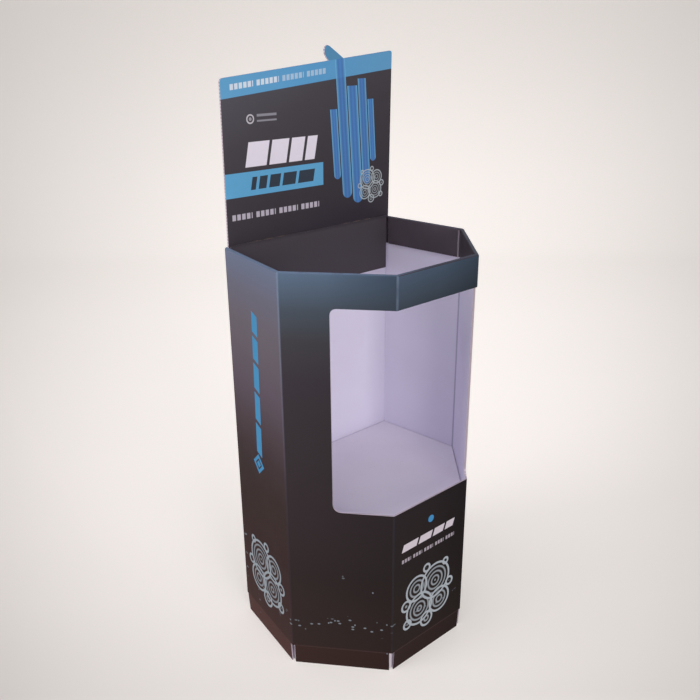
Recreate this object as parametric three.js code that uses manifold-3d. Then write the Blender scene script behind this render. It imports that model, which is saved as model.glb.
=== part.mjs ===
// Six-sided cardboard floor display bin with a front window, a raised shelf and a header card.
// Millimetres, +Z up. The front panel faces -Y and the origin is the middle of the footprint.

import * as THREE from 'three';
import { mergeVertices } from 'three/addons/utils/BufferGeometryUtils.js';
import Module from 'manifold-3d';

// Board and plan
const BOARD = 4;
const FIT_GAP = 0.3;
const RIM_HEIGHT = 914;
const PANEL_WIDTH = 224.2;
const CORNER_TURN = THREE.MathUtils.degToRad(48.8);
const FOLD_RADIUS = 6;
const INNER_FOLD_RADIUS = 0.8;
const FOLD_STEPS = 4;

// Rim: the top edge is turned inward and down
const TURN_IN_DEPTH = 66;
const TURN_IN_GAP = 0.8;
const RIM_RADIUS = BOARD + TURN_IN_GAP / 2;
const RIM_STEPS = 8;
const RIM_SLOT_WIDTH = 11;
const RIM_SLOT_TOP = 3;

// Bottom flaps: creased, leaning in a little, slotted at each corner
const FLAP_HEIGHT = 50;
const FLAP_LEAN = 3;
const FLAP_SLOT_TOP_WIDTH = 12;
const FLAP_SLOT_FOOT_WIDTH = 9;

// Window in three neighbouring panels
const WINDOW_BOTTOM = 404;
const WINDOW_TOP = 846;
const WINDOW_START = 97.4;
const WINDOW_END = 24;
const WINDOW_TOP_RADIUS = 15;
const WINDOW_BOTTOM_RADIUS = 21;

// Glue flap inside the left side panel, next to the back left corner
const SEAM_START = 2;
const SEAM_WIDTH = 40;
const SEAM_END_GAP = 8;

// Shelf tray: a panel with turned-down edges that caps the liner
const SHELF_TOP = 365;
const SHELF_INSET = BOARD + 1;
const SHELF_EDGE_DROP = 50;
const SHELF_EDGE_ROUND = 1.6;
const SHELF_SLOT_WIDTH = 10;

// Liner sleeve and the two crossed dividers inside it
const LINER_INSET = SHELF_INSET + BOARD + 0.6;
const LINER_TOP = SHELF_TOP - BOARD - FIT_GAP;
const DIVIDER_Y = 190;
const DIVIDER_SLOT = BOARD + 2 * FIT_GAP;

// Header card
const HEADER_LEFT = -226.8;
const HEADER_RIGHT = 224.2;
const HEADER_INSERT_LEFT = -221;
const HEADER_INSERT_RIGHT = 218.6;
const HEADER_INSERT_DEPTH = 124.7;
const HEADER_LEFT_TOP = 1242.9;
const HEADER_RIGHT_TOP = 1285.9;
const HEADER_CORNER_RADIUS = 7;
const HEADER_LEAN = Math.atan2(5.6, 326);
const HEADER_TAB = [
  [83, 0],
  [62, 15.8],
  [44.5, 28.6],
  [39, 31],
  [33.8, 28.8],
  [30.8, 22.5],
  [32, 14],
  [36, 7],
  [42.5, 0],
];
const CREASE_DEPTH = 0.9;
const CREASE_HALF_WIDTH = 1.6;

const wasm = await Module();
wasm.setup();

// Plan corners, anticlockwise from above, with the front panel on y = 0
function planCorners() {
  const half = PANEL_WIDTH / 2;
  const sideX = half + PANEL_WIDTH * Math.cos(CORNER_TURN);
  const sideY = PANEL_WIDTH * Math.sin(CORNER_TURN);
  const backX = sideX + PANEL_WIDTH * Math.cos(2 * CORNER_TURN);
  const backY = sideY + PANEL_WIDTH * Math.sin(2 * CORNER_TURN);
  return [
    new THREE.Vector2(-half, 0),
    new THREE.Vector2(half, 0),
    new THREE.Vector2(sideX, sideY),
    new THREE.Vector2(backX, backY),
    new THREE.Vector2(-backX, backY),
    new THREE.Vector2(-sideX, sideY),
  ];
}

const CORNERS = planCorners();
const DEPTH = CORNERS[3].y;

// Each panel is known by the corner it starts from
const PANEL = { front: 0, frontRight: 1, right: 2, left: 4, frontLeft: 5 };

function cornerAt(index) {
  return CORNERS[(index + CORNERS.length) % CORNERS.length];
}

function panelDirection(index) {
  return cornerAt(index + 1).clone().sub(cornerAt(index)).normalize();
}

function inwardNormal(index) {
  const along = panelDirection(index);
  return new THREE.Vector2(-along.y, along.x);
}

// The point where the two panels at a corner meet when both are moved inward
function mitrePoint(index, inset) {
  const before = inwardNormal(index - 1);
  const after = inwardNormal(index);
  const sum = before.clone().add(after);
  return cornerAt(index).clone().add(sum.multiplyScalar(inset / (1 + before.dot(after))));
}

// Plan outline moved inward, with every fold rounded
function planRing(inset) {
  const radius = Math.max(FOLD_RADIUS - inset, INNER_FOLD_RADIUS);
  const points = [];
  for (let index = 0; index < CORNERS.length; index += 1) {
    const centre = mitrePoint(index, inset + radius);
    const outward = inwardNormal(index - 1).negate();
    const turn = outward.angleTo(inwardNormal(index).negate());
    for (let step = 0; step <= FOLD_STEPS; step += 1) {
      const spoke = outward.clone().rotateAround(new THREE.Vector2(), (turn * step) / FOLD_STEPS);
      points.push(centre.clone().addScaledVector(spoke, radius));
    }
  }
  return points;
}

function solidOf(geometry) {
  const bare = geometry.clone();
  bare.deleteAttribute('normal');
  bare.deleteAttribute('uv');
  const merged = mergeVertices(bare, 1e-4);
  return new wasm.Manifold(new wasm.Mesh({
    numProp: 3,
    vertProperties: new Float32Array(merged.attributes.position.array),
    triVerts: new Uint32Array(merged.index.array),
  }));
}

// A closed band: the profile of [inset, height] points carried round the plan
function bandSolid(profile) {
  const rings = profile.map(([inset]) => planRing(inset));
  const count = rings[0].length;
  const positions = [];
  const indices = [];
  profile.forEach(([, height], row) => {
    rings[row].forEach((point) => positions.push(point.x, point.y, height));
  });
  for (let row = 0; row < profile.length; row += 1) {
    const next = (row + 1) % profile.length;
    for (let column = 0; column < count; column += 1) {
      const right = (column + 1) % count;
      indices.push(row * count + column, row * count + right, next * count + right);
      indices.push(row * count + column, next * count + right, next * count + column);
    }
  }
  const geometry = new THREE.BufferGeometry();
  geometry.setAttribute('position', new THREE.Float32BufferAttribute(positions, 3));
  geometry.setIndex(indices);
  return solidOf(geometry);
}

// The full plan area inside an inset, between two heights
function plateSolid(inset, bottom, top) {
  const geometry = new THREE.ExtrudeGeometry(new THREE.Shape(planRing(inset)), {
    depth: top - bottom,
    bevelEnabled: false,
  });
  return solidOf(geometry.translate(0, 0, bottom));
}

// An outline drawn on a panel (along the panel, height), thick from one inset to another
function panelSolid(index, shape, fromInset, toInset) {
  const geometry = new THREE.ExtrudeGeometry(shape, {
    depth: toInset - fromInset,
    bevelEnabled: false,
    curveSegments: 8,
  });
  geometry.translate(0, 0, -toInset);
  const along = panelDirection(index);
  const outward = inwardNormal(index).negate();
  const start = cornerAt(index);
  const frame = new THREE.Matrix4().makeBasis(
    new THREE.Vector3(along.x, along.y, 0),
    new THREE.Vector3(0, 0, 1),
    new THREE.Vector3(outward.x, outward.y, 0),
  );
  frame.setPosition(start.x, start.y, 0);
  return solidOf(geometry.applyMatrix4(frame));
}

// A cutter that stands on a corner's bisector, with its own width at foot and top
function cornerCutter(index, footWidth, topWidth, bottom, top) {
  const reach = 30;
  const shape = new THREE.Shape();
  shape.moveTo(-footWidth / 2, bottom);
  shape.lineTo(footWidth / 2, bottom);
  shape.lineTo(topWidth / 2, top);
  shape.lineTo(-topWidth / 2, top);
  shape.closePath();
  const geometry = new THREE.ExtrudeGeometry(shape, { depth: 2 * reach, bevelEnabled: false });
  geometry.translate(0, 0, -reach);
  const outward = mitrePoint(index, 1).sub(cornerAt(index)).normalize().negate();
  const frame = new THREE.Matrix4().makeBasis(
    new THREE.Vector3(-outward.y, outward.x, 0),
    new THREE.Vector3(0, 0, 1),
    new THREE.Vector3(outward.x, outward.y, 0),
  );
  frame.setPosition(cornerAt(index).x, cornerAt(index).y, 0);
  return solidOf(geometry.applyMatrix4(frame));
}

function rectangle(left, right, bottom, top) {
  const shape = new THREE.Shape();
  shape.moveTo(left, bottom);
  shape.lineTo(right, bottom);
  shape.lineTo(right, top);
  shape.lineTo(left, top);
  shape.closePath();
  return shape;
}

// A window end: square on one side, rounded on the other
function windowEnd(rounded, square) {
  const toward = Math.sign(square - rounded);
  const upper = WINDOW_TOP_RADIUS;
  const lower = WINDOW_BOTTOM_RADIUS;
  const shape = new THREE.Shape();
  shape.moveTo(square, WINDOW_BOTTOM);
  shape.lineTo(square, WINDOW_TOP);
  shape.lineTo(rounded + toward * upper, WINDOW_TOP);
  shape.quadraticCurveTo(rounded, WINDOW_TOP, rounded, WINDOW_TOP - upper);
  shape.lineTo(rounded, WINDOW_BOTTOM + lower);
  shape.quadraticCurveTo(rounded, WINDOW_BOTTOM, rounded + toward * lower, WINDOW_BOTTOM);
  shape.closePath();
  return shape;
}

function sleeveSolid() {
  const profile = [[FLAP_LEAN, 0], [0, FLAP_HEIGHT]];
  const foldCentre = RIM_HEIGHT - RIM_RADIUS;
  for (let step = 0; step <= RIM_STEPS; step += 1) {
    const angle = Math.PI * (1 - step / RIM_STEPS);
    profile.push([RIM_RADIUS * (1 + Math.cos(angle)), foldCentre + RIM_RADIUS * Math.sin(angle)]);
  }
  profile.push([2 * RIM_RADIUS, RIM_HEIGHT - TURN_IN_DEPTH]);
  profile.push([BOARD + TURN_IN_GAP, RIM_HEIGHT - TURN_IN_DEPTH]);
  profile.push([BOARD + TURN_IN_GAP, foldCentre]);
  profile.push([BOARD, foldCentre]);
  profile.push([BOARD, FLAP_HEIGHT]);
  profile.push([BOARD + FLAP_LEAN, 0]);
  let sleeve = bandSolid(profile);

  const seam = rectangle(
    SEAM_START,
    SEAM_START + SEAM_WIDTH,
    FLAP_HEIGHT + SEAM_END_GAP,
    RIM_HEIGHT - TURN_IN_DEPTH - SEAM_END_GAP,
  );
  sleeve = sleeve.add(panelSolid(PANEL.left, seam, BOARD - 1, 2 * BOARD));

  const turnInSpace = plateSolid(BOARD + TURN_IN_GAP / 2, 0, RIM_HEIGHT);
  for (let index = 0; index < CORNERS.length; index += 1) {
    const rimSlot = cornerCutter(
      index,
      RIM_SLOT_WIDTH,
      RIM_SLOT_WIDTH,
      RIM_HEIGHT - TURN_IN_DEPTH - 1,
      RIM_HEIGHT - RIM_SLOT_TOP,
    );
    sleeve = sleeve.subtract(rimSlot.intersect(turnInSpace));
    sleeve = sleeve.subtract(cornerCutter(
      index,
      FLAP_SLOT_FOOT_WIDTH,
      FLAP_SLOT_TOP_WIDTH,
      -1,
      FLAP_HEIGHT,
    ));
  }

  const overlap = 1;
  const reach = 3 * BOARD;
  const cuts = [
    [PANEL.frontLeft, windowEnd(WINDOW_START, PANEL_WIDTH + overlap)],
    [PANEL.front, rectangle(-overlap, PANEL_WIDTH + overlap, WINDOW_BOTTOM, WINDOW_TOP)],
    [PANEL.frontRight, windowEnd(WINDOW_END, -overlap)],
  ];
  cuts.forEach(([index, shape]) => {
    sleeve = sleeve.subtract(panelSolid(index, shape, -reach, reach));
  });
  return sleeve;
}

function shelfSolid() {
  const edgeFoot = SHELF_TOP - SHELF_EDGE_DROP;
  const inner = SHELF_INSET + BOARD;
  let shelf = bandSolid([
    [SHELF_INSET, edgeFoot],
    [SHELF_INSET, SHELF_TOP - SHELF_EDGE_ROUND],
    [SHELF_INSET + SHELF_EDGE_ROUND, SHELF_TOP],
    [inner, SHELF_TOP],
    [inner, edgeFoot],
  ]);
  shelf = shelf.add(plateSolid(SHELF_INSET + SHELF_EDGE_ROUND, SHELF_TOP - BOARD, SHELF_TOP));
  for (let index = 0; index < CORNERS.length; index += 1) {
    const slot = cornerCutter(
      index,
      SHELF_SLOT_WIDTH,
      SHELF_SLOT_WIDTH,
      edgeFoot - 1,
      SHELF_TOP - BOARD,
    );
    shelf = shelf.subtract(slot);
  }
  const seamRoom = rectangle(-BOARD, SEAM_WIDTH + 2 * BOARD, edgeFoot - 1, SHELF_TOP + 1);
  return shelf.subtract(panelSolid(PANEL.left, seamRoom, 0, inner + FIT_GAP));
}

function linerSolid() {
  return bandSolid([
    [LINER_INSET, 0],
    [LINER_INSET, LINER_TOP],
    [LINER_INSET + BOARD, LINER_TOP],
    [LINER_INSET + BOARD, 0],
  ]);
}

// Half the clear width inside the liner at a depth behind the front panel
function linerHalfWidth(y) {
  const side = cornerAt(PANEL.right);
  const along = panelDirection(PANEL.right);
  const outerX = side.x + ((y - side.y) * along.x) / along.y;
  return outerX - (LINER_INSET + BOARD) / along.y;
}

function boxSolid(low, high) {
  const size = high.clone().sub(low);
  const middle = high.clone().add(low).multiplyScalar(0.5);
  const geometry = new THREE.BoxGeometry(size.x, size.y, size.z);
  return solidOf(geometry.translate(middle.x, middle.y, middle.z));
}

// The divider from side to side is slotted from its top edge down to half height
function sideDividerSolid() {
  const halfLength = linerHalfWidth(DIVIDER_Y + BOARD / 2) - FIT_GAP;
  const panel = boxSolid(
    new THREE.Vector3(-halfLength, DIVIDER_Y - BOARD / 2, 0),
    new THREE.Vector3(halfLength, DIVIDER_Y + BOARD / 2, LINER_TOP),
  );
  const slot = boxSolid(
    new THREE.Vector3(-DIVIDER_SLOT / 2, DIVIDER_Y - BOARD, LINER_TOP / 2),
    new THREE.Vector3(DIVIDER_SLOT / 2, DIVIDER_Y + BOARD, LINER_TOP + 1),
  );
  return panel.subtract(slot);
}

// The divider from front to back is slotted from its foot up to half height
function depthDividerSolid() {
  const clear = LINER_INSET + BOARD + FIT_GAP;
  const panel = boxSolid(
    new THREE.Vector3(-BOARD / 2, clear, 0),
    new THREE.Vector3(BOARD / 2, DEPTH - clear, LINER_TOP),
  );
  const slot = boxSolid(
    new THREE.Vector3(-BOARD, DIVIDER_Y - DIVIDER_SLOT / 2, -1),
    new THREE.Vector3(BOARD, DIVIDER_Y + DIVIDER_SLOT / 2, LINER_TOP / 2 + FIT_GAP),
  );
  return panel.subtract(slot);
}

function headerEdgeHeight(x) {
  const share = (x - HEADER_LEFT) / (HEADER_RIGHT - HEADER_LEFT);
  return THREE.MathUtils.lerp(HEADER_LEFT_TOP, HEADER_RIGHT_TOP, share);
}

// Outline of the card above the rim in x and z, with its slanted top edge and the die-cut tab
function headerCardShape() {
  const foot = RIM_HEIGHT + FIT_GAP;
  const left = HEADER_LEFT;
  const right = HEADER_RIGHT;
  const r = HEADER_CORNER_RADIUS;
  const shape = new THREE.Shape();
  shape.moveTo(left, foot);
  shape.lineTo(right, foot);
  shape.lineTo(right, headerEdgeHeight(right) - r);
  shape.quadraticCurveTo(right, headerEdgeHeight(right), right - r, headerEdgeHeight(right - r));
  HEADER_TAB.forEach(([x, rise]) => shape.lineTo(x, headerEdgeHeight(x) + rise));
  shape.lineTo(left + r, headerEdgeHeight(left + r));
  shape.quadraticCurveTo(left, headerEdgeHeight(left), left, headerEdgeHeight(left) - r);
  shape.closePath();
  return shape;
}

function uprightSheet(shape, backFace) {
  const geometry = new THREE.ExtrudeGeometry(shape, {
    depth: BOARD,
    bevelEnabled: false,
    curveSegments: 5,
  });
  geometry.rotateX(Math.PI / 2);
  return geometry.translate(0, backFace, 0);
}

// The card stands against the back panel's turned-in edge. Above the rim it leans forward a little
function headerSolid() {
  const backFace = DEPTH - 2 * RIM_RADIUS - FIT_GAP;
  const frontFace = backFace - BOARD;
  const fold = RIM_HEIGHT + FIT_GAP;
  const card = uprightSheet(headerCardShape(), backFace);
  card.translate(0, -backFace, -fold);
  card.rotateX(HEADER_LEAN);
  card.translate(0, backFace, fold);
  const insert = uprightSheet(
    rectangle(
      HEADER_INSERT_LEFT,
      HEADER_INSERT_RIGHT,
      RIM_HEIGHT - HEADER_INSERT_DEPTH,
      fold,
    ),
    backFace,
  );

  const groove = new THREE.Shape();
  groove.moveTo(frontFace - 1, fold + CREASE_HALF_WIDTH);
  groove.lineTo(frontFace - 1, fold + 3 * CREASE_HALF_WIDTH);
  groove.lineTo(frontFace, fold + 3 * CREASE_HALF_WIDTH);
  groove.lineTo(frontFace + CREASE_DEPTH, fold + 2 * CREASE_HALF_WIDTH);
  groove.lineTo(frontFace, fold + CREASE_HALF_WIDTH);
  groove.closePath();
  const crease = new THREE.ExtrudeGeometry(groove, { depth: 2.2 * PANEL_WIDTH, bevelEnabled: false });
  crease.applyMatrix4(new THREE.Matrix4().makeBasis(
    new THREE.Vector3(0, 1, 0),
    new THREE.Vector3(0, 0, 1),
    new THREE.Vector3(1, 0, 0),
  ));
  crease.translate(-1.1 * PANEL_WIDTH, 0, 0);
  return solidOf(card).add(solidOf(insert)).subtract(solidOf(crease));
}

function meshOf(name, solid, color, roughness) {
  const { vertProperties, triVerts } = solid.getMesh();
  const geometry = new THREE.BufferGeometry();
  geometry.setAttribute('position', new THREE.BufferAttribute(vertProperties, 3));
  geometry.setIndex(new THREE.BufferAttribute(triVerts, 1));
  geometry.computeVertexNormals();
  const material = new THREE.MeshStandardMaterial({ color, roughness, metalness: 0 });
  const mesh = new THREE.Mesh(geometry, material);
  mesh.name = name;
  return mesh;
}

const displayBin = new THREE.Group();
displayBin.name = 'display_bin';
displayBin.add(meshOf('outer_sleeve', sleeveSolid(), 0x3b3739, 0.55));
displayBin.add(meshOf('header_card', headerSolid(), 0x45434c, 0.55));
displayBin.add(meshOf('shelf_tray', shelfSolid(), 0xd9d5e2, 0.8));
displayBin.add(meshOf('support_liner', linerSolid(), 0xded9e2, 0.8));
displayBin.add(meshOf('divider_side_to_side', sideDividerSolid(), 0xb89a72, 0.85));
displayBin.add(meshOf('divider_front_to_back', depthDividerSolid(), 0xb89a72, 0.85));
displayBin.position.set(0, -DEPTH / 2, 0);

export default displayBin;
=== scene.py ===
"""Looks of the cardboard display bin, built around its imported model. Metres, +Z up, front towards -Y."""

import bpy
import functools
import math
from mathutils import Matrix, Vector


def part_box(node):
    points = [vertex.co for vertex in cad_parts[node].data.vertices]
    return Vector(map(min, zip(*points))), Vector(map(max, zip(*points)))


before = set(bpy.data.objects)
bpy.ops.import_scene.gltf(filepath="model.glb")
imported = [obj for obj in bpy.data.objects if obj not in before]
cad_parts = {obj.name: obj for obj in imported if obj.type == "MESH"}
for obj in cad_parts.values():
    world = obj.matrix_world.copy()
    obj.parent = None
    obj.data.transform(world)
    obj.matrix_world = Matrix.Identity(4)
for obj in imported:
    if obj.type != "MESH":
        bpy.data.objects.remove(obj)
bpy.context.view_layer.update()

# Plan of the bin, as in the model
PANEL_WIDTH = 0.2242
CORNER_TURN = math.radians(48.8)
BOARD = 0.004
TURN_IN_DEPTH = 0.066
FLAP_HEIGHT = 0.050
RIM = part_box("outer_sleeve")[1].z
HALF_DEPTH = PANEL_WIDTH * (math.sin(CORNER_TURN) + math.sin(2 * CORNER_TURN)) / 2
HALF_FRONT = PANEL_WIDTH / 2
HALF_SIDE = HALF_FRONT + PANEL_WIDTH * math.cos(CORNER_TURN)
HALF_BACK = HALF_SIDE + PANEL_WIDTH * math.cos(2 * CORNER_TURN)
SIDE_Y = PANEL_WIDTH * math.sin(CORNER_TURN) - HALF_DEPTH

# Header card
HEADER_LOW, HEADER_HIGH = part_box("header_card")
HEADER_LEFT_TOP = 1.2429
HEADER_RIGHT_TOP = 1.2859
HEADER_SLOPE = (HEADER_RIGHT_TOP - HEADER_LEFT_TOP) / (HEADER_HIGH.x - HEADER_LOW.x)

# Every upright panel is further than this from the bin's middle line
WALL_DISTANCE = 0.17
# A panel faces forwards or sideways where its normal has more than this in that direction
PANEL_FACING = 0.85
# The same for the two faces of a flat sheet, which leaves its cut edges
SHEET_FACING = 0.7

# Width of one flute as it shows on a cut edge and through the print
EDGE_FLUTE = 0.0065
FACE_FLUTE = 0.0078

# Print on the upright panels, from the foot at 0 to the rim at 1, with painted reflection in its paling
# towards the rim. The paler, redder band below 0.053 is painted light on the bottom flaps, and the side
# panels' paler ramp is painted sheen.
FRONT_FADE_AND_REFLECTION = [
    (0.0, "#3a2a28"), (0.053, "#3a2a28"), (0.06, "#342a28"), (0.26, "#302929"), (0.44, "#332c2f"),
    (0.66, "#363135"), (0.77, "#39343b"), (0.85, "#3f3e43"), (0.92, "#464f5a"), (1.0, "#586a80"),
]
SIDE_FADE_AND_SHEEN = [
    (0.0, "#4e312e"), (0.053, "#4e312e"), (0.06, "#3e2927"), (0.28, "#362424"), (0.44, "#392c2b"),
    (0.53, "#423539"), (0.61, "#51454c"), (0.7, "#605662"), (0.85, "#6d6771"), (0.92, "#6f6f7f"),
    (1.0, "#717c94"),
]
# Painted light falling off across the bin: how pale the front panels' print is from the left end of the bin
# to its right end
ACROSS_PAINTED_LIGHT = [
    (0.0, "#ffffff"), (0.12, "#f0f0f0"), (0.27, "#dadada"), (0.50, "#cbcbcb"), (0.70, "#a8a8a8"),
    (0.82, "#b4b4b4"), (1.0, "#d4d4d4"),
]
ACROSS_LIGHT_WIDTH = 0.52
ACROSS_LIGHT_STRENGTH = 1.10

# Print on the header card: its dark field from low left to high right, and its band from left to right
HEADER_FADE = [
    (0.0, "#37323a"), (0.20, "#3b373d"), (0.40, "#403c42"), (0.62, "#47444a"), (0.85, "#55545d"),
    (1.0, "#585963"),
]
HEADER_FADE_FOOT = 0.79
HEADER_FADE_HEIGHT = 0.5
HEADER_FADE_WIDTH = 0.456
BAND_FADE = [(0.0, "#66a8d4"), (0.5, "#5c9fd0"), (1.0, "#639ec8")]
BAND_DEPTH = 0.0384

# Mottled tones of plain board
INNER_PRINT_TONES = [(0.3, "#4a4349"), (0.7, "#564e56")]
WHITE_TONES = [(0.3, "#dedaec"), (0.7, "#e4e0f2")]

# Rings of a cluster: place and radius, as shares of the cluster's radius
BUBBLES = [
    (-0.28, 0.36, 0.56), (0.42, 0.44, 0.40), (0.30, -0.26, 0.50), (-0.46, -0.34, 0.40),
    (0.02, -0.74, 0.24), (0.80, 0.06, 0.18), (-0.84, 0.06, 0.15), (0.06, 0.92, 0.14),
    (0.74, -0.56, 0.16), (-0.66, 0.80, 0.12),
]
BUBBLE_LINE = 0.062

# Blue bars on the header card: left edge, right edge, foot and head
HEADER_BARS = [
    (0.051, 0.070, 1.020, 1.170), (0.073, 0.100, 0.975, 1.310), (0.103, 0.131, 0.960, 1.216),
    (0.134, 0.157, 1.000, 1.230), (0.160, 0.177, 1.050, 1.186),
]
# Their blue from the middle line to the edge
BAR_TONES = [(0.0, "#4f86c8"), (0.45, "#4a76b4"), (0.8, "#5c9fd0"), (1.0, "#7db8e0")]

# The small diamond on each side panel: from the back fold forwards, and above the floor
DIAMOND_ALONG = 0.107
DIAMOND_HEIGHT = 0.456

# The column of bars on each side panel, above the floor
COLUMN_FOOT = 0.486
COLUMN_HEAD = 0.812


def srgb(code):
    """A linear colour from an sRGB hex code."""
    channels = [int(code[i:i + 2], 16) / 255 for i in (1, 3, 5)]
    linear = [c / 12.92 if c <= 0.04045 else ((c + 0.055) / 1.055) ** 2.4 for c in channels]
    return (*linear, 1.0)


class Field:
    """A number that varies over a surface, written with node arithmetic."""

    def __init__(self, tree, socket):
        self.tree = tree
        self.socket = socket

    def node(self, operation, *others, clamp=False):
        made = self.tree.nodes.new("ShaderNodeMath")
        made.operation = operation
        made.use_clamp = clamp
        for index, value in enumerate((self, *others)):
            if isinstance(value, Field):
                self.tree.links.new(value.socket, made.inputs[index])
            else:
                made.inputs[index].default_value = value
        return Field(self.tree, made.outputs[0])

    def __add__(self, other):
        return self.node("ADD", other)

    def __sub__(self, other):
        return self.node("SUBTRACT", other)

    def __mul__(self, other):
        return self.node("MULTIPLY", other)

    def __truediv__(self, other):
        return self.node("DIVIDE", other)

    def above(self, edge, soft=0.0006):
        """1 where the value is over the edge, 0 under it, with a soft step."""
        return ((self - edge) / soft).node("ADD", 0.5, clamp=True)

    def below(self, edge, soft=0.0006):
        return self.above(edge, soft).flip()

    def between(self, low, high, soft=0.0006):
        return self.above(low, soft) * self.below(high, soft)

    def flip(self):
        return (self * -1.0) + 1.0

    def most(self, other):
        return self.node("MAXIMUM", other)

    def least(self, other):
        return self.node("MINIMUM", other)

    def size(self):
        return self.node("ABSOLUTE")

    def fraction(self):
        return self.node("FRACT")

    def root(self):
        return self.node("SQRT")

    def power(self, exponent):
        return self.node("POWER", exponent)

    def wave(self, length):
        """A sine wave of the given length."""
        return (self * (2 * math.pi / length)).node("SINE")


class Surface:
    """One material's node tree, with the places and normals that its prints are drawn by."""

    def __init__(self, name):
        self.material = bpy.data.materials.new(name)
        self.material.use_nodes = True
        self.tree = self.material.node_tree
        self.shader = self.tree.nodes["Principled BSDF"]
        coordinates = self.tree.nodes.new("ShaderNodeTexCoord")
        self.place = coordinates.outputs["Object"]
        self.x, self.y, self.z = self.split(self.place)
        self.nx, self.ny, self.nz = self.split(coordinates.outputs["Normal"])

    def split(self, socket):
        node = self.tree.nodes.new("ShaderNodeSeparateXYZ")
        self.tree.links.new(socket, node.inputs[0])
        return [Field(self.tree, out) for out in node.outputs]

    def noise(self, scale, detail=3.0):
        node = self.tree.nodes.new("ShaderNodeTexNoise")
        node.inputs["Scale"].default_value = scale
        node.inputs["Detail"].default_value = detail
        node.inputs["Roughness"].default_value = 0.55
        self.tree.links.new(self.place, node.inputs["Vector"])
        return Field(self.tree, node.outputs["Fac"])

    def varied(self, lowest, change, scale):
        """A number that rises by up to the change in soft patches."""
        return self.noise(scale) * change + lowest

    def cells(self, vector, scale):
        """Voronoi cells: the distance to each cell's point, and a random number for the cell."""
        node = self.tree.nodes.new("ShaderNodeTexVoronoi")
        node.voronoi_dimensions = "2D"
        node.inputs["Scale"].default_value = scale
        self.tree.links.new(vector, node.inputs["Vector"])
        random = self.split(node.outputs["Color"])[0]
        return Field(self.tree, node.outputs["Distance"]), random

    def unrolled(self, height_scale):
        """A flat place on the upright panels: distance round the bin, and scaled height."""
        side = self.x.above(0.0) * 2.0 - 1.0
        node = self.tree.nodes.new("ShaderNodeCombineXYZ")
        self.tree.links.new((self.x + self.y * side).socket, node.inputs["X"])
        self.tree.links.new((self.z * height_scale).socket, node.inputs["Y"])
        return node.outputs[0]

    def linear_ramp(self, field, stops):
        """Colours along a field, from stops of a position and a linear colour."""
        node = self.tree.nodes.new("ShaderNodeValToRGB")
        elements = node.color_ramp.elements
        while len(elements) < len(stops):
            elements.new(0.5)
        for element, (position, colour) in zip(elements, stops):
            element.position = position
            element.color = colour
        self.tree.links.new(field.socket, node.inputs[0])
        return node.outputs[0]

    def ramp(self, field, stops):
        """Colours along a field, from stops of a position and a hex code."""
        return self.linear_ramp(field, [(position, srgb(code)) for position, code in stops])

    def mottled(self, tones, scale):
        return self.ramp(self.noise(scale), tones)

    def paint(self, under, over, mask):
        """Colour over another where the mask is 1. A colour is a hex code or a socket."""
        node = self.tree.nodes.new("ShaderNodeMix")
        node.data_type = "RGBA"
        self.tree.links.new(mask.socket, node.inputs["Factor"])
        for index, colour in ((6, under), (7, over)):
            if isinstance(colour, str):
                node.inputs[index].default_value = srgb(colour)
            else:
                self.tree.links.new(colour, node.inputs[index])
        return node.outputs[2]

    def shade(self, colour, amount):
        """The colour made lighter or darker by a field around 1."""
        node = self.tree.nodes.new("ShaderNodeVectorMath")
        node.operation = "SCALE"
        self.tree.links.new(colour, node.inputs[0])
        self.tree.links.new(amount.socket, node.inputs["Scale"])
        return node.outputs[0]

    def facing_front(self):
        return self.ny.below(-PANEL_FACING, 0.1)

    def facing_side(self):
        return self.nx.size().above(PANEL_FACING, 0.1)

    def grain(self):
        """Height of the paper's fibre and of the faint upright flutes under the print."""
        fibre = self.noise(900.0, 2.0)
        flute = (self.x + self.y).wave(FACE_FLUTE)
        waviness = self.noise(5.0, 2.0)
        return fibre * 0.25 + flute * 0.035 + waviness * 6.0

    def board_edge(self, across_flutes):
        """Colour of a cut corrugated edge: pale paper with a darker fluted core."""
        core = across_flutes.wave(EDGE_FLUTE).above(0.0, 0.8)
        return self.paint("#cfc4d0", "#8f8187", core * 0.6)

    def finish(self, colour, roughness, specular, bump_strength, bump_distance):
        """Connects the colour, the roughness field and the bump of the grain."""
        self.tree.links.new(colour, self.shader.inputs["Base Color"])
        self.tree.links.new(roughness.socket, self.shader.inputs["Roughness"])
        self.shader.inputs["Specular IOR Level"].default_value = specular
        bump = self.tree.nodes.new("ShaderNodeBump")
        bump.inputs["Strength"].default_value = bump_strength
        bump.inputs["Distance"].default_value = bump_distance
        self.tree.links.new(self.grain().socket, bump.inputs["Height"])
        self.tree.links.new(bump.outputs[0], self.shader.inputs["Normal"])
        return self.material


# Printed shapes

def union(masks):
    """1 where any of the masks is 1."""
    return functools.reduce(Field.most, masks)


def blocks(u, v, cells, low, high, slant):
    """A row of solid blocks with slanted ends. Each cell is a start and an end along the row."""
    run = u - (v - low) * slant
    return union([run.between(start, end) for start, end in cells]) * v.between(low, high)


def stripes(start, end, first, change, gap):
    """Starts and ends of stripes that grow or shrink by the same step along a row."""
    shortest = 0.002
    spare = 0.001
    cells = []
    length = first
    while start + length <= end + spare and length > shortest:
        cells.append((start, start + length))
        start += length + gap
        length += change
    return cells


def dashes(u, v, start, end, low, high, pitch, duty=0.7, gap_every=4):
    """A row of short dashes, with a wider gap after every few."""
    step = (u - start) / pitch
    dash = step.fraction().below(duty, 0.06)
    group = (step / gap_every).fraction().below(1 - 0.8 / gap_every, 0.02)
    return dash * group * v.between(low, high) * u.between(start, end)


def circle(u, v, centre, radius, width):
    """A ring with thinner ripples inside it, as a fraction of full ink."""
    du = u - centre[0]
    dv = v - centre[1]
    distance = (du * du + dv * dv).root()
    ring = distance.between(radius - width, radius)
    ripple = ((distance - radius) / (2.1 * width)).fraction().between(0.55, 0.95, 0.2)
    return ring.most(distance.below(radius) * ripple * 0.7)


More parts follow.
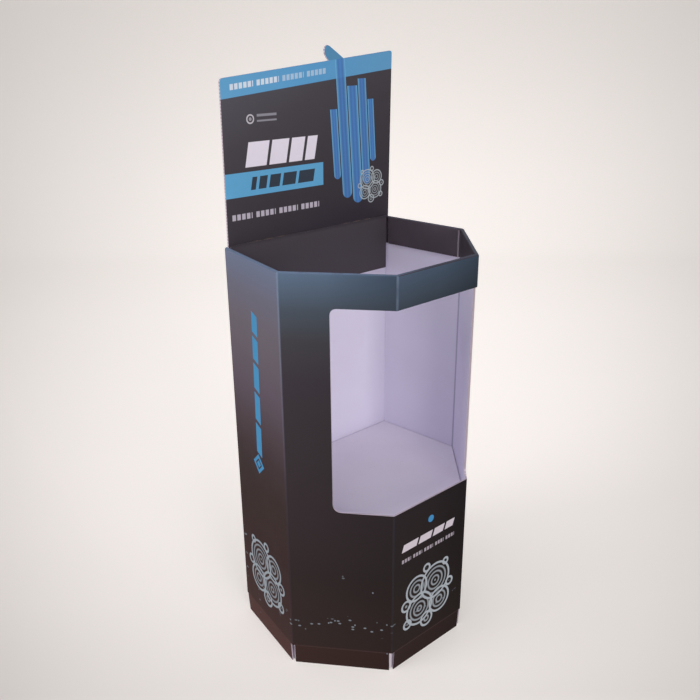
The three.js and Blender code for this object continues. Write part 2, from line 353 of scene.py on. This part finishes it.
def bubbles(u, v, centre, radius):
    """A cluster of rings of several sizes."""
    rings = []
    for du, dv, share in BUBBLES:
        spot = (centre[0] + du * radius, centre[1] + dv * radius)
        rings.append(circle(u, v, spot, share * radius, BUBBLE_LINE * radius))
    return union(rings)


def from_fold(s):
    """How far a point is from the nearest upright fold, in metres."""
    distances = []
    for fold_x, fold_y in ((HALF_FRONT, -HALF_DEPTH), (HALF_SIDE, SIDE_Y), (HALF_BACK, HALF_DEPTH)):
        dx = s.x.size() - fold_x
        dy = s.y - fold_y
        distances.append((dx * dx + dy * dy).root())
    return functools.reduce(Field.least, distances)


# The outer sleeve

def sleeve_faces(s):
    """Masks of the outside, of the turned-in rim and of the cut edges."""
    from_middle = s.nx * s.x + s.ny * s.y
    outside = from_middle.above(WALL_DISTANCE, 0.01)
    wall = from_middle.size().above(WALL_DISTANCE, 0.01)
    top_fold = s.z.above(RIM - BOARD - 0.0004, 0.001)
    rim = s.z.above(RIM - TURN_IN_DEPTH - 0.0005) * wall.most(top_fold)
    return outside, rim, wall.flip()


def dark_field(s, outside):
    """The dark print with painted light in it: paler towards the rim, paler to the left and paler on the
    side panels, with painted shade at the top beside the front and on the front panels' turned-in rim.
    """
    level = s.z / RIM
    # Painted light: the print is paler towards the left end
    across = s.ramp(s.x / ACROSS_LIGHT_WIDTH + 0.5, ACROSS_PAINTED_LIGHT)
    front = s.shade(s.ramp(level, FRONT_FADE_AND_REFLECTION), Field(s.tree, across) * ACROSS_LIGHT_STRENGTH)
    # Painted shade near the top of the slanted panels, close to the front folds
    front_fold_shade = s.x.size().below(0.155, 0.09) * s.facing_front().flip()
    front = s.shade(front, front_fold_shade * level.power(8.0) * -0.4 + 1.0)
    # The side panels take the paler ramp, which is painted sheen
    colour = s.paint(front, s.ramp(level, SIDE_FADE_AND_SHEEN), s.facing_side())
    # Painted shade: the turned-in rim on the front and slanted panels is darker than at the back
    towards_back = s.y.above(SIDE_Y - BOARD, BOARD)
    inner_print_shaded = s.shade(s.mottled(INNER_PRINT_TONES, 6.0), towards_back * 0.4 + 0.6)
    return s.paint(colour, inner_print_shaded, outside.flip())


def side_prints(s, colour, outside):
    """A column of slanted bars, a diamond and a cluster of rings, mirrored left and right."""
    forward = Vector((HALF_SIDE - HALF_BACK, SIDE_Y - HALF_DEPTH)).normalized()
    along = (s.x.size() - HALF_BACK) * forward.x + (s.y - HALF_DEPTH) * forward.y
    printed = s.facing_side() * outside
    leaning = along + (s.z - COLUMN_HEAD) * -0.025
    bars = stripes(COLUMN_FOOT, COLUMN_HEAD, first=0.070, change=-0.0065, gap=0.009)
    column = blocks(s.z, leaning, bars, low=0.110, high=0.133, slant=-0.35)
    from_diamond = (along - DIAMOND_ALONG).size() + (s.z - DIAMOND_HEIGHT).size()
    diamond = from_diamond.below(0.024) * from_diamond.between(0.009, 0.014).flip()
    colour = s.paint(colour, "#4a94c4", printed * column.most(diamond))
    cluster = bubbles(along, s.z, centre=(0.115, 0.168), radius=0.086)
    return s.paint(colour, "#a2adb6", printed * cluster)


def front_prints(s, colour, outside):
    """A blue dot, a row of slanted blocks, a row of dashes and a cluster of rings."""
    printed = s.facing_front() * outside
    dot = circle(s.x, s.z, centre=(-0.001, 0.351), radius=0.0085, width=0.0085)
    colour = s.paint(colour, "#468ec2", printed * dot)
    large = stripes(-0.088, 0.082, first=0.044, change=-0.006, gap=0.006)
    headline = blocks(s.x, s.z, large, low=0.302, high=0.320, slant=0.35)
    colour = s.paint(colour, "#d3cbd5", printed * headline)
    second = dashes(s.x, s.z, -0.087, 0.078, low=0.274, high=0.283, pitch=0.0085)
    colour = s.paint(colour, "#aba3ae", printed * second)
    cluster = bubbles(s.x * -1.0, s.z, centre=(0.004, 0.150), radius=0.084)
    return s.paint(colour, "#abb4bc", printed * cluster)


def specks(s):
    """Loose specks, most of them in one wavy band low on every panel."""
    distance, random = s.cells(s.unrolled(2.4), 30.0)
    streaks = distance.below(0.13, 0.08) * random.above(0.45, 0.02)
    distance, random = s.cells(s.unrolled(1.1), 44.0)
    dots = distance.below(0.10, 0.05) * random.above(0.55, 0.02)
    drift = s.z + s.noise(7.0, 2.0) * 0.09
    low_band = drift.between(0.148, 0.176, 0.010)
    stray = s.z.between(0.03, 0.28, 0.02) * random.above(0.975, 0.02)
    return streaks.most(dots) * low_band.most(stray)


def wear_and_highlights(s, colour, outside):
    """Pale lines on the upright folds and the rim, partly worn ink and partly painted highlight, stronger
    on the left and towards the rim, and a faint line where the bottom flaps fold.
    """
    scuff = s.noise(38.0, 4.0)
    leftward = s.x.below(-0.10, 0.16) * 0.75 + 0.25
    upward = (s.z / RIM).power(5.0) * 0.6 + 0.04
    # Painted highlight with worn ink along the upright folds
    fold = from_fold(s).below(0.0026, 0.0014) * outside
    colour = s.paint(colour, "#7788a0", fold * leftward * upward * scuff.above(0.3, 0.4))
    # Painted highlight with worn ink along the rim's top edge
    lip = s.z.above(RIM - 0.0014, 0.0016)
    colour = s.paint(colour, "#7d96b4", lip * leftward * scuff.above(0.2, 0.5) * 0.6)
    crease = (s.z - FLAP_HEIGHT).size().below(0.0014, 0.002) * outside
    return s.paint(colour, "#4c3c3b", crease * 0.5)


def white_inside(s):
    """Plain white board with painted shade along the inner folds, the darkest at the two side folds."""
    # Painted shade in the inner folds
    fold = from_fold(s).below(0.0064, 0.0018)
    at_side = s.x.size().above(0.245, 0.004)
    return s.paint(s.mottled(WHITE_TONES, 4.0), "#8d86a0", fold * (at_side * 0.4 + 0.2))


def printed_board():
    """The outer sheet: dark print outside and on the turned-in rim, white inside, both with painted light
    and shade laid in.
    """
    s = Surface("printed_board")
    outside, rim, cut = sleeve_faces(s)
    printed = outside.most(rim)
    colour = dark_field(s, outside)
    colour = side_prints(s, colour, outside)
    colour = front_prints(s, colour, outside)
    colour = s.paint(colour, "#8b959e", outside * specks(s) * 0.75)
    colour = wear_and_highlights(s, colour, outside)
    colour = s.shade(colour, s.varied(0.89, 0.22, scale=3.0))
    colour = s.paint(white_inside(s), colour, printed)
    colour = s.paint(colour, s.board_edge(s.x + s.y), cut * rim.flip())
    roughness = s.varied(0.36, 0.12, scale=30.0) * printed + printed.flip() * 0.75
    return s.finish(colour, roughness, specular=0.02, bump_strength=0.35, bump_distance=0.0012)


# The header card

def header_fields(s, down):
    """The dark field, the blue band with its dashes and the blue box."""
    across = s.x / HEADER_FADE_WIDTH + 0.5
    level = (s.z - HEADER_FADE_FOOT) / HEADER_FADE_HEIGHT - across * 0.40
    colour = s.paint(s.ramp(level, HEADER_FADE), "#4f4950", s.z.below(RIM, 0.01))
    colour = s.paint(colour, s.ramp(across, BAND_FADE), down.below(BAND_DEPTH, 0.001))
    tabs = dashes(s.x, down, -0.205, 0.035, low=0.0135, high=0.0245, pitch=0.0105, duty=0.74, gap_every=6)
    colour = s.paint(colour, "#d8e4f0", tabs * (s.x.above(-0.09, 0.01) * -0.5 + 1.0))
    box = s.x.below(0.025) * s.z.between(1.013, 1.062)
    return s.paint(colour, "#62a9d5", box)


def header_rows(s, colour):
    """Rows of blocks and dashes, and a small round mark with two lines."""
    large = stripes(-0.177, 0.017, first=0.052, change=-0.0085, gap=0.007)
    headline = blocks(s.x, s.z, large, low=1.071, high=1.120, slant=0.2)
    colour = s.paint(colour, "#e6e1ee", headline)
    small = stripes(-0.166, 0.012, first=0.012, change=0.0075, gap=0.007)
    inside_box = blocks(s.x, s.z, small, low=1.0245, high=1.0505, slant=0.2)
    colour = s.paint(colour, "#36404c", inside_box)
    strap = dashes(s.x, s.z, -0.214, 0.019, low=0.9670, high=0.9790, pitch=0.0118, duty=0.72, gap_every=5)
    colour = s.paint(colour, "#bcb6c3", strap)
    dot = circle(s.x, s.z, centre=(-0.1606, 1.1643), radius=0.0094, width=0.0028)
    colour = s.paint(colour, "#c3c1c9", dot)
    two_lines = s.z.between(1.1680, 1.1730).most(s.z.between(1.1580, 1.1615))
    return s.paint(colour, "#8f8e98", s.x.between(-0.1446, -0.096) * two_lines)


def header_bars(s, colour):
    """Leaning blue bars with rounded feet, one of them up to the tab, and a cluster of rings."""
    lean = s.x + (s.z - 1.10) * 0.08
    for index, (left, right, foot, head) in enumerate(HEADER_BARS):
        half = (right - left) / 2
        stem = (lean - (left + right) / 2).size()
        over_round = s.z - (foot + half)
        under_round = over_round.below(0.0) * over_round.size()
        reach = (stem * stem + under_round * under_round).root()
        shape = reach.below(half) * s.z.between(foot, head)
        ink = s.ramp(stem / half, BAR_TONES)
        colour = s.paint(colour, ink, shape * (0.95 - 0.05 * (index % 2)))
    cluster = bubbles(s.x, s.z, centre=(0.167, 0.995), radius=0.041)
    return s.paint(colour, "#aab5ba", cluster)


def header_print():
    """The header card: printed front, plain white back and fluted cut edges."""
    s = Surface("header_print")
    front = s.ny.below(-SHEET_FACING, 0.1)
    cut = s.ny.size().below(SHEET_FACING, 0.1)
    down = (s.x - HEADER_LOW.x) * HEADER_SLOPE + HEADER_LEFT_TOP - s.z
    colour = header_fields(s, down)
    colour = header_rows(s, colour)
    colour = header_bars(s, colour)
    colour = s.paint(colour, "#5790b8", down.below(0.0))

    # A worn crease just above the rim, on both sides of the middle
    worn = (s.x.size() - 0.125).size().below(0.045, 0.03)
    crease = (s.z - RIM - 0.0032).size().below(0.0012, 0.0012) * worn
    colour = s.paint(colour, "#6f5f58", crease * s.noise(60.0, 4.0).above(0.47, 0.2) * 0.5)
    colour = s.shade(colour, s.varied(0.9, 0.2, scale=3.0))
    colour = s.paint(s.mottled(WHITE_TONES, 4.0), colour, front)
    colour = s.paint(colour, s.board_edge(s.x + s.z), cut)
    roughness = s.varied(0.38, 0.12, scale=30.0)
    return s.finish(colour, roughness, specular=0.15, bump_strength=0.35, bump_distance=0.0012)


# Plain board

def plain_board(name, light, dark, fluted_edges):
    """Unprinted board with soft mottling and fine fibre. The cut edges that are fluted face up and down."""
    s = Surface(name)
    colour = s.mottled([(0.3, dark), (0.7, light)], 5.0)
    fleck = s.noise(220.0, 2.0).above(0.70, 0.03)
    colour = s.paint(colour, "#9a8f96", fleck * 0.18)
    if fluted_edges:
        cut = s.nz.size().above(SHEET_FACING, 0.1)
        colour = s.paint(colour, s.board_edge(s.x + s.y), cut)
    roughness = s.varied(0.72, 0.1, scale=40.0)
    return s.finish(colour, roughness, specular=0.25, bump_strength=0.3, bump_distance=0.001)


def dress_nodes():
    kraft = plain_board("kraft_board", "#b79a74", "#a98b65", fluted_edges=True)
    finishes = {
        "outer_sleeve": printed_board(),
        "header_card": header_print(),
        "shelf_tray": plain_board("white_board", "#e2dce7", "#dbd5e1", fluted_edges=False),
        "support_liner": plain_board("liner_board", "#e6dfe8", "#dcd4de", fluted_edges=True),
        "divider_side_to_side": kraft,
        "divider_front_to_back": kraft,
    }
    for name, material in finishes.items():
        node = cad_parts[name]
        node.data.materials.clear()
        node.data.materials.append(material)


# Camera, as fitted to the rim and the foot corners, in rim heights from the front panel's middle

FOCAL_PIXELS = 793.7
IMAGE_PIXELS = 700
SENSOR_MM = 36.0
CAMERA_PLACE = Vector((-1.1850, -1.0754, 1.4404))
CAMERA_YAW = math.radians(41.013)
CAMERA_PITCH = math.radians(21.608)
CAMERA_ROLL = math.radians(-0.433)
CAMERA_FORWARD = Vector((
    math.sin(CAMERA_YAW) * math.cos(CAMERA_PITCH),
    math.cos(CAMERA_YAW) * math.cos(CAMERA_PITCH),
    -math.sin(CAMERA_PITCH),
))


def make_camera():
    level_right = Vector((math.cos(CAMERA_YAW), -math.sin(CAMERA_YAW), 0))
    level_up = level_right.cross(CAMERA_FORWARD)
    right = level_right * math.cos(CAMERA_ROLL) + level_up * math.sin(CAMERA_ROLL)
    up = level_up * math.cos(CAMERA_ROLL) - level_right * math.sin(CAMERA_ROLL)
    data = bpy.data.cameras.new("camera")
    data.sensor_width = SENSOR_MM
    data.lens = FOCAL_PIXELS / IMAGE_PIXELS * SENSOR_MM
    camera = bpy.data.objects.new("camera", data)
    place = CAMERA_PLACE * RIM + Vector((0, -HALF_DEPTH, 0))
    turn = Matrix((right, up, -CAMERA_FORWARD)).transposed().to_4x4()
    camera.matrix_world = Matrix.Translation(place) @ turn
    bpy.context.scene.collection.objects.link(camera)
    bpy.context.scene.camera = camera


# Stage: a pale floor that curves up into a backdrop away from the camera

FLOOR_HALF = 6.0
SWEEP_RADIUS = 1.6
SWEEP_START = 3.2
SWEEP_STEPS = 24
WALL_TOP = 5.0
STAGE_COLOUR = "#f5f0eb"
STAGE_GLOW = 0.58

# Painted pool of light on the stage: how pale it is at each depth behind the bin's middle, the wall's
# height added
STAGE_LIGHT_POOL = [
    (-0.9, 0.720), (-0.28, 0.655), (0.02, 0.750), (0.32, 0.815), (0.73, 0.875), (1.29, 0.930),
    (2.13, 0.975), (3.46, 0.990), (4.54, 0.922), (5.28, 0.858), (6.31, 0.751),
]
STAGE_NEAR = -1.0
STAGE_REACH = 8.0


def stage_directions():
    """Level directions on the stage: away from the camera, and to its right."""
    away = Vector((CAMERA_FORWARD.x, CAMERA_FORWARD.y, 0)).normalized()
    return away, Vector((away.y, -away.x, 0))


def stage_material():
    """Pale matte board with a painted pool of light that fades towards the near edge, the far wall and the
    sides. The camera and glossy rays also see a plain glow, so that it stays pale.
    """
    s = Surface("pale_stage")
    tree = s.tree
    tree.nodes.remove(s.shader)
    away, side = stage_directions()
    depth = s.x * away.x + s.y * away.y + s.z
    # Painted light falling off sideways
    sideways = (s.x * side.x + s.y * side.y - 0.03) / (depth + 2.2)
    sideways_falloff = (sideways * sideways * -1.5 + 1.0).most(0.7)
    stops = []
    for place, tone in STAGE_LIGHT_POOL:
        channels = [channel * tone for channel in srgb(STAGE_COLOUR)[:3]]
        stops.append(((place - STAGE_NEAR) / STAGE_REACH, (*channels, 1.0)))
    colour = s.shade(s.linear_ramp((depth - STAGE_NEAR) / STAGE_REACH, stops), sideways_falloff)
    diffuse = tree.nodes.new("ShaderNodeBsdfDiffuse")
    glow = tree.nodes.new("ShaderNodeEmission")
    tree.links.new(colour, diffuse.inputs["Color"])
    tree.links.new(colour, glow.inputs["Color"])
    rays = tree.nodes.new("ShaderNodeLightPath")
    seen = Field(tree, rays.outputs["Is Camera Ray"]).most(Field(tree, rays.outputs["Is Glossy Ray"]))
    tree.links.new((seen * STAGE_GLOW).socket, glow.inputs["Strength"])
    both = tree.nodes.new("ShaderNodeAddShader")
    tree.links.new(diffuse.outputs[0], both.inputs[0])
    tree.links.new(glow.outputs[0], both.inputs[1])
    tree.links.new(both.outputs[0], tree.nodes["Material Output"].inputs["Surface"])
    return s.material


def make_stage():
    """One sheet: flat floor, a quarter-round sweep away from the camera, then an upright wall."""
    profile = [(-FLOOR_HALF, 0.0), (SWEEP_START, 0.0)]
    for step in range(1, SWEEP_STEPS + 1):
        angle = math.pi / 2 * step / SWEEP_STEPS
        profile.append((
            SWEEP_START + SWEEP_RADIUS * math.sin(angle),
            SWEEP_RADIUS * (1 - math.cos(angle)),
        ))
    profile.append((SWEEP_START + SWEEP_RADIUS, WALL_TOP))
    away, side = stage_directions()
    vertices = []
    for distance, height in profile:
        for end in (-FLOOR_HALF, FLOOR_HALF):
            vertices.append(away * distance + side * end + Vector((0, 0, height)))
    faces = [(2 * i, 2 * i + 1, 2 * i + 3, 2 * i + 2) for i in range(len(profile) - 1)]
    mesh = bpy.data.meshes.new("backdrop")
    mesh.from_pydata(vertices, [], faces)
    mesh.shade_smooth()
    mesh.materials.append(stage_material())
    backdrop = bpy.data.objects.new("backdrop", mesh)
    bpy.context.scene.collection.objects.link(backdrop)


# Square lights: name, place, target, side, watts and colour

LIGHTS = [
    ("key", (-0.95, -3.5, 1.15), (0.05, 0, 0.62), 1.6, 62, "#fffaf6"),
    ("left_fill", (-3.0, 0.9, 1.4), (0, 0, 0.6), 1.8, 40, "#fffaf8"),
    ("top_soft", (-0.9, -0.4, 3.3), (0.05, 0, 0.6), 2.0, 22, "#f6f3ff"),
]

# The world's colour, and its strength as light and as the pale backdrop beyond the stage
WORLD_COLOUR = "#f3f1f4"
WORLD_LIGHT = 0.45
WORLD_SEEN = 0.80


def make_lights():
    for name, place, target, side, watts, colour in LIGHTS:
        data = bpy.data.lights.new(name, "AREA")
        data.shape = "SQUARE"
        data.size = side
        data.energy = watts
        data.color = srgb(colour)[:3]
        light = bpy.data.objects.new(name, data)
        light.location = place
        light.rotation_euler = (Vector(target) - Vector(place)).to_track_quat("-Z", "Y").to_euler()
        bpy.context.scene.collection.objects.link(light)


def make_world():
    world = bpy.data.worlds.new("studio")
    world.use_nodes = True
    tree = world.node_tree
    background = tree.nodes["Background"]
    background.inputs["Color"].default_value = srgb(WORLD_COLOUR)
    rays = tree.nodes.new("ShaderNodeLightPath")
    strength = Field(tree, rays.outputs["Is Camera Ray"]) * (WORLD_SEEN - WORLD_LIGHT) + WORLD_LIGHT
    tree.links.new(strength.socket, background.inputs["Strength"])
    bpy.context.scene.world = world


make_camera()
make_stage()
make_lights()
make_world()
dress_nodes()
bpy.context.scene.view_settings.view_transform = "Standard"
